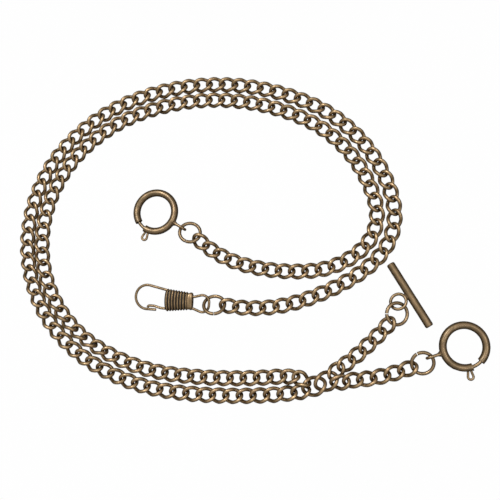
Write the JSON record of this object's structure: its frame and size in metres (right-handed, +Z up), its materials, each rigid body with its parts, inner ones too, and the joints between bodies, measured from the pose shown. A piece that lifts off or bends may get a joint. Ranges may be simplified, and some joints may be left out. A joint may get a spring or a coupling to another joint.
{
  "type": "pocket watch chain",
  "caption": "Double Albert watch chain: two curb-link strands, a T-bar branch, two spring rings and a snap clasp, laid out flat.",
  "frame": {"origin": "on the table plane, under the middle of the laid-out chain (bounding box bottom centre)", "axes": "+Z up from the table, +X along the longest extent towards the side-branch spring ring, +Y across the loop away from the stem"},
  "size_m": [0.1792, 0.1262, 0.0056],
  "materials": {
    "antique_brass": "antiqued, worn satin",
    "spring_steel": "bare spring wire"
  },
  "bodies": {
    "stem_link_1": {"stem_link_1": "antique_brass"},
    "stem_link_2": {"stem_link_2": "antique_brass"},
    "side_jump_ring": {"side_jump_ring": "antique_brass"},
    "side_spring_ring": {"side_spring_ring_case": "antique_brass", "side_spring_ring_eyelet": "antique_brass", "side_spring_ring_coil": "spring_steel"},
    "side_spring_ring_latch": {"side_spring_ring_latch": "antique_brass"},
    "inner_jump_ring": {"inner_jump_ring": "antique_brass"},
    "inner_spring_ring": {"inner_spring_ring_case": "antique_brass", "inner_spring_ring_eyelet": "antique_brass", "inner_spring_ring_coil": "spring_steel"},
    "inner_spring_ring_latch": {"inner_spring_ring_latch": "antique_brass"},
    "clasp_jump_ring": {"clasp_jump_ring": "antique_brass"},
    "clasp": {"clasp_wire": "antique_brass", "clasp_sleeve": "antique_brass"},
    "clasp_gate": {"clasp_gate": "antique_brass"},
    "bar_jump_ring": {"bar_jump_ring": "antique_brass"},
    "t_bar": {"t_bar": "antique_brass", "bar_ring": "antique_brass"},
    "bar_branch_link_1": {"bar_branch_link_1": "antique_brass"},
    "bar_branch_link_2": {"bar_branch_link_2": "antique_brass"},
    "bar_branch_link_3": {"bar_branch_link_3": "antique_brass"},
    "bar_branch_link_4": {"bar_branch_link_4": "antique_brass"},
    "bar_branch_link_5": {"bar_branch_link_5": "antique_brass"},
    "bar_branch_link_6": {"bar_branch_link_6": "antique_brass"},
    "side_branch_link_1": {"side_branch_link_1": "antique_brass"},
    "side_branch_link_2": {"side_branch_link_2": "antique_brass"},
    "side_branch_link_3": {"side_branch_link_3": "antique_brass"},
    "side_branch_link_4": {"side_branch_link_4": "antique_brass"},
    "side_branch_link_5": {"side_branch_link_5": "antique_brass"},
    "side_branch_link_6": {"side_branch_link_6": "antique_brass"},
    "inner_strand_run_01": {"inner_strand_run_01": "antique_brass"},
    "inner_strand_run_02": {"inner_strand_run_02": "antique_brass"},
    "inner_strand_run_03": {"inner_strand_run_03": "antique_brass"},
    "inner_strand_run_04": {"inner_strand_run_04": "antique_brass"},
    "inner_strand_run_05": {"inner_strand_run_05": "antique_brass"},
    "inner_strand_run_06": {"inner_strand_run_06": "antique_brass"},
    "inner_strand_run_07": {"inner_strand_run_07": "antique_brass"},
    "inner_strand_run_08": {"inner_strand_run_08": "antique_brass"},
    "inner_strand_run_09": {"inner_strand_run_09": "antique_brass"},
    "inner_strand_run_10": {"inner_strand_run_10": "antique_brass"},
    "inner_strand_run_11": {"inner_strand_run_11": "antique_brass"},
    "inner_strand_run_12": {"inner_strand_run_12": "antique_brass"},
    "inner_strand_run_13": {"inner_strand_run_13": "antique_brass"},
    "inner_strand_run_14": {"inner_strand_run_14": "antique_brass"},
    "outer_strand_run_01": {"outer_strand_run_01": "antique_brass"},
    "outer_strand_run_02": {"outer_strand_run_02": "antique_brass"},
    "outer_strand_run_03": {"outer_strand_run_03": "antique_brass"},
    "outer_strand_run_04": {"outer_strand_run_04": "antique_brass"},
    "outer_strand_run_05": {"outer_strand_run_05": "antique_brass"},
    "outer_strand_run_06": {"outer_strand_run_06": "antique_brass"},
    "outer_strand_run_07": {"outer_strand_run_07": "antique_brass"},
    "outer_strand_run_08": {"outer_strand_run_08": "antique_brass"},
    "outer_strand_run_09": {"outer_strand_run_09": "antique_brass"},
    "outer_strand_run_10": {"outer_strand_run_10": "antique_brass"},
    "outer_strand_run_11": {"outer_strand_run_11": "antique_brass"},
    "outer_strand_run_12": {"outer_strand_run_12": "antique_brass"},
    "outer_strand_run_13": {"outer_strand_run_13": "antique_brass"},
    "outer_strand_run_14": {"outer_strand_run_14": "antique_brass"},
    "outer_strand_run_15": {"outer_strand_run_15": "antique_brass"}
  },
  "joints": [
    {"name": "side_spring_ring_latch_slide", "type": "hinge", "parent": "side_spring_ring", "child": "side_spring_ring_latch", "pos_m": [0.08062, -0.04133, 0.00185], "axis": [-0.0486, -0.0029, -0.9988], "range_deg": [0, 26], "deforming": ["side_spring_ring_coil"]},
    {"name": "side_spring_ring_swing", "type": "hinge", "parent": "side_jump_ring", "child": "side_spring_ring", "pos_m": [0.06957, -0.04587, 0.00245], "axis": [0.3795, -0.9252, 0], "range_deg": [-20, 20]},
    {"name": "side_jump_ring_swing", "type": "hinge", "parent": "side_branch_link_6", "child": "side_jump_ring", "pos_m": [0.063, -0.04857, 0.00185], "axis": [0.3827, -0.9239, 0], "range_deg": [-12, 12]},
    {"name": "inner_spring_ring_latch_slide", "type": "hinge", "parent": "inner_spring_ring", "child": "inner_spring_ring_latch", "pos_m": [-0.03446, 0.00964, 0.0017], "axis": [-0.0299, 0.018, 0.9994], "range_deg": [0, 26], "deforming": ["inner_spring_ring_coil"]},
    {"name": "inner_spring_ring_swing", "type": "hinge", "parent": "inner_jump_ring", "child": "inner_spring_ring", "pos_m": [-0.02396, 0.00333, 0.00215], "axis": [0.515, 0.8572, 0], "range_deg": [-20, 20]},
    {"name": "inner_jump_ring_swing", "type": "hinge", "parent": "inner_strand_run_14", "child": "inner_jump_ring", "pos_m": [-0.01816, -0.00073, 0.0022], "axis": [0.6428, 0.766, 0], "range_deg": [-12, 12]},
    {"name": "clasp_gate_spring", "type": "hinge", "parent": "clasp", "child": "clasp_gate", "pos_m": [-0.02905, -0.02784, 0.00135], "axis": [0.0489, 0.1348, -0.9897], "range_deg": [0, 16]},
    {"name": "clasp_swing", "type": "hinge", "parent": "clasp_jump_ring", "child": "clasp", "pos_m": [-0.01331, -0.02621, 0.00235], "axis": [0.1045, 0.9945, 0], "range_deg": [-12, 12]},
    {"name": "clasp_jump_ring_swing", "type": "hinge", "parent": "outer_strand_run_15", "child": "clasp_jump_ring", "pos_m": [-0.00732, -0.02651, 0.0024], "axis": [0, 1, 0], "range_deg": [-12, 12]},
    {"name": "t_bar_swing", "type": "hinge", "parent": "bar_jump_ring", "child": "t_bar", "pos_m": [0.05746, -0.02699, 0.0022], "axis": [0.9925, -0.1219, 0], "range_deg": [-10, 10]},
    {"name": "bar_jump_ring_swing", "type": "hinge", "parent": "bar_branch_link_6", "child": "bar_jump_ring", "pos_m": [0.05518, -0.03224, 0.0029], "axis": [0.788, -0.6157, 0], "range_deg": [-10, 10]},
    {"name": "stem_link_2_swing", "type": "hinge", "parent": "stem_link_1", "child": "stem_link_2", "pos_m": [0.02933, -0.05534, 0.00216], "axis": [0.342, -0.9397, 0], "range_deg": [-12, 12]},
    {"name": "bar_branch_link_1_swing", "type": "hinge", "parent": "stem_link_2", "child": "bar_branch_link_1", "pos_m": [0.03344, -0.05251, 0.00202], "axis": [0.7859, -0.6184, 0], "range_deg": [-3, 1]},
    {"name": "bar_branch_link_2_swing", "type": "hinge", "parent": "bar_branch_link_1", "child": "bar_branch_link_2", "pos_m": [0.0368, -0.0493, 0.00182], "axis": [-0.6074, 0.7944, 0], "range_deg": [-12, 12]},
    {"name": "bar_branch_link_3_swing", "type": "hinge", "parent": "bar_branch_link_2", "child": "bar_branch_link_3", "pos_m": [0.0408, -0.04624, 0.00198], "axis": [0.6428, -0.766, 0], "range_deg": [-12, 12]},
    {"name": "bar_branch_link_4_swing", "type": "hinge", "parent": "bar_branch_link_3", "child": "bar_branch_link_4", "pos_m": [0.04467, -0.04299, 0.00185], "axis": [-0.7071, 0.7071, 0], "range_deg": [-12, 12]},
    {"name": "bar_branch_link_5_swing", "type": "hinge", "parent": "bar_branch_link_4", "child": "bar_branch_link_5", "pos_m": [0.04824, -0.03942, 0.00175], "axis": [0.682, -0.7314, 0], "range_deg": [-12, 12]},
    {"name": "bar_branch_link_6_swing", "type": "hinge", "parent": "bar_branch_link_5", "child": "bar_branch_link_6", "pos_m": [0.05193, -0.03598, 0.0019], "axis": [-0.7547, 0.6561, 0], "range_deg": [-12, 12]},
    {"name": "side_branch_link_1_swing", "type": "hinge", "parent": "stem_link_2", "child": "side_branch_link_1", "pos_m": [0.03404, -0.05472, 0.00291], "axis": [-0.0576, 0.9983, 0], "range_deg": [-3, 1]},
    {"name": "side_branch_link_2_swing", "type": "hinge", "parent": "side_branch_link_1", "child": "side_branch_link_2", "pos_m": [0.03861, -0.05397, 0.0036], "axis": [0.108, -0.9942, 0], "range_deg": [-12, 12]},
    {"name": "side_branch_link_3_swing", "type": "hinge", "parent": "side_branch_link_2", "child": "side_branch_link_3", "pos_m": [0.04357, -0.05343, 0.00284], "axis": [-0.1219, 0.9925, 0], "range_deg": [-12, 12]},
    {"name": "side_branch_link_4_swing", "type": "hinge", "parent": "side_branch_link_3", "child": "side_branch_link_4", "pos_m": [0.04849, -0.05283, 0.00185], "axis": [0.225, -0.9744, 0], "range_deg": [-12, 12]},
    {"name": "side_branch_link_5_swing", "type": "hinge", "parent": "side_branch_link_4", "child": "side_branch_link_5", "pos_m": [0.05341, -0.05169, 0.00172], "axis": [-0.2756, 0.9613, 0], "range_deg": [-12, 12]},
    {"name": "side_branch_link_6_swing", "type": "hinge", "parent": "side_branch_link_5", "child": "side_branch_link_6", "pos_m": [0.05826, -0.0503, 0.00172], "axis": [0.342, -0.9397, 0], "range_deg": [-12, 12]},
    {"name": "inner_strand_run_01_swing", "type": "hinge", "parent": "stem_link_1", "child": "inner_strand_run_01", "pos_m": [0.02473, -0.05505, 0.00296], "axis": [-0.5358, -0.8443, 0], "range_deg": [-3, 1]},
    {"name": "inner_strand_run_02_swing", "type": "hinge", "parent": "inner_strand_run_01", "child": "inner_strand_run_02", "pos_m": [-0.00418, -0.0537, 0.00175], "axis": [0.0102, 0.9999, 0], "range_deg": [-12, 12]},
    {"name": "inner_strand_run_03_swing", "type": "hinge", "parent": "inner_strand_run_02", "child": "inner_strand_run_03", "pos_m": [-0.02914, -0.05216, 0.00172], "axis": [-0.1844, -0.9829, 0], "range_deg": [-12, 12]},
    {"name": "inner_strand_run_04_swing", "type": "hinge", "parent": "inner_strand_run_03", "child": "inner_strand_run_04", "pos_m": [-0.05709, -0.04177, 0.00295], "axis": [0.5697, 0.8219, 0], "range_deg": [-12, 12]},
    {"name": "inner_strand_run_05_swing", "type": "hinge", "parent": "inner_strand_run_04", "child": "inner_strand_run_05", "pos_m": [-0.07638, -0.01936, 0.00289], "axis": [-0.9382, -0.346, 0], "range_deg": [-12, 12]},
    {"name": "inner_strand_run_06_swing", "type": "hinge", "parent": "inner_strand_run_05", "child": "inner_strand_run_06", "pos_m": [-0.0793, 0.01007, 0.00196], "axis": [0.9667, -0.2559, 0], "range_deg": [-12, 12]},
    {"name": "inner_strand_run_07_swing", "type": "hinge", "parent": "inner_strand_run_06", "child": "inner_strand_run_07", "pos_m": [-0.06825, 0.03223, 0.00172], "axis": [-0.7194, 0.6946, 0], "range_deg": [-12, 12]},
    {"name": "inner_strand_run_08_swing", "type": "hinge", "parent": "inner_strand_run_07", "child": "inner_strand_run_08", "pos_m": [-0.04361, 0.04886, 0.00172], "axis": [0.3075, -0.9516, 0], "range_deg": [-12, 12]},
    {"name": "inner_strand_run_09_swing", "type": "hinge", "parent": "inner_strand_run_08", "child": "inner_strand_run_09", "pos_m": [-0.01415, 0.05382, 0.00172], "axis": [0.0372, 0.9993, 0], "range_deg": [-12, 12]},
    {"name": "inner_strand_run_10_swing", "type": "hinge", "parent": "inner_strand_run_09", "child": "inner_strand_run_10", "pos_m": [0.0105, 0.05001, 0.00172], "axis": [-0.3226, -0.9465, 0], "range_deg": [-12, 12]},
    {"name": "inner_strand_run_11_swing", "type": "hinge", "parent": "inner_strand_run_10", "child": "inner_strand_run_11", "pos_m": [0.03643, 0.03546, 0.00172], "axis": [0.7402, 0.6724, 0], "range_deg": [-12, 12]},
    {"name": "inner_strand_run_12_swing", "type": "hinge", "parent": "inner_strand_run_11", "child": "inner_strand_run_12", "pos_m": [0.05035, 0.00936, 0.00172], "axis": [-1, 0.0089, 0], "range_deg": [-12, 12]},
    {"name": "inner_strand_run_13_swing", "type": "hinge", "parent": "inner_strand_run_12", "child": "inner_strand_run_13", "pos_m": [0.03352, -0.01244, 0.00172], "axis": [0.2261, -0.9741, 0], "range_deg": [-12, 12]},
    {"name": "inner_strand_run_14_swing", "type": "hinge", "parent": "inner_strand_run_13", "child": "inner_strand_run_14", "pos_m": [0.0087, -0.0131, 0.00172], "axis": [0.1863, 0.9825, 0], "range_deg": [-12, 12]},
    {"name": "outer_strand_run_01_swing", "type": "hinge", "parent": "stem_link_1", "child": "outer_strand_run_01", "pos_m": [0.02463, -0.05768, 0.00251], "axis": [-0.2113, 0.9774, 0], "range_deg": [-3, 1]},
    {"name": "outer_strand_run_02_swing", "type": "hinge", "parent": "outer_strand_run_01", "child": "outer_strand_run_02", "pos_m": [-0.00566, -0.06009, 0.00172], "axis": [-0.0172, -0.9999, 0], "range_deg": [-12, 12]},
    {"name": "outer_strand_run_03_swing", "type": "hinge", "parent": "outer_strand_run_02", "child": "outer_strand_run_03", "pos_m": [-0.031, -0.05833, 0.00172], "axis": [0.1937, 0.9811, 0], "range_deg": [-12, 12]},
    {"name": "outer_strand_run_04_swing", "type": "hinge", "parent": "outer_strand_run_03", "child": "outer_strand_run_04", "pos_m": [-0.05943, -0.0478, 0.00172], "axis": [-0.5499, -0.8352, 0], "range_deg": [-12, 12]},
    {"name": "outer_strand_run_05_swing", "type": "hinge", "parent": "outer_strand_run_04", "child": "outer_strand_run_05", "pos_m": [-0.07763, -0.03037, 0.00172], "axis": [0.8614, 0.5079, 0], "range_deg": [-12, 12]},
    {"name": "outer_strand_run_06_swing", "type": "hinge", "parent": "outer_strand_run_05", "child": "outer_strand_run_06", "pos_m": [-0.08662, -0.00162, 0.00172], "axis": [-0.9998, 0.0177, 0], "range_deg": [-12, 12]},
    {"name": "outer_strand_run_07_swing", "type": "hinge", "parent": "outer_strand_run_06", "child": "outer_strand_run_07", "pos_m": [-0.07924, 0.02759, 0.00172], "axis": [0.8428, -0.5382, 0], "range_deg": [-12, 12]},
    {"name": "outer_strand_run_08_swing", "type": "hinge", "parent": "outer_strand_run_07", "child": "outer_strand_run_08", "pos_m": [-0.06214, 0.04613, 0.00172], "axis": [-0.5529, 0.8333, 0], "range_deg": [-12, 12]},
    {"name": "outer_strand_run_09_swing", "type": "hinge", "parent": "outer_strand_run_08", "child": "outer_strand_run_09", "pos_m": [-0.0343, 0.05804, 0.00172], "axis": [0.1848, -0.9828, 0], "range_deg": [-12, 12]},
    {"name": "outer_strand_run_10_swing", "type": "hinge", "parent": "outer_strand_run_09", "child": "outer_strand_run_10", "pos_m": [-0.00903, 0.05995, 0.00172], "axis": [0.0894, 0.996, 0], "range_deg": [-12, 12]},
    {"name": "outer_strand_run_11_swing", "type": "hinge", "parent": "outer_strand_run_10", "child": "outer_strand_run_11", "pos_m": [0.02056, 0.0531, 0.00172], "axis": [-0.4078, -0.9131, 0], "range_deg": [-12, 12]},
    {"name": "outer_strand_run_12_swing", "type": "hinge", "parent": "outer_strand_run_11", "child": "outer_strand_run_12", "pos_m": [0.04501, 0.03544, 0.00172], "axis": [0.8037, 0.595, 0], "range_deg": [-12, 12]},
    {"name": "outer_strand_run_13_swing", "type": "hinge", "parent": "outer_strand_run_12", "child": "outer_strand_run_13", "pos_m": [0.05618, 0.01284, 0.00172], "axis": [-0.9898, -0.1423, 0], "range_deg": [-12, 12]},
    {"name": "outer_strand_run_14_swing", "type": "hinge", "parent": "outer_strand_run_13", "child": "outer_strand_run_14", "pos_m": [0.04549, -0.01368, 0.00172], "axis": [0.5631, -0.8264, 0], "range_deg": [-12, 12]},
    {"name": "outer_strand_run_15_swing", "type": "hinge", "parent": "outer_strand_run_14", "child": "outer_strand_run_15", "pos_m": [0.02276, -0.02485, 0.00172], "axis": [-0.2679, 0.9635, 0], "range_deg": [-12, 12]}
  ]
}
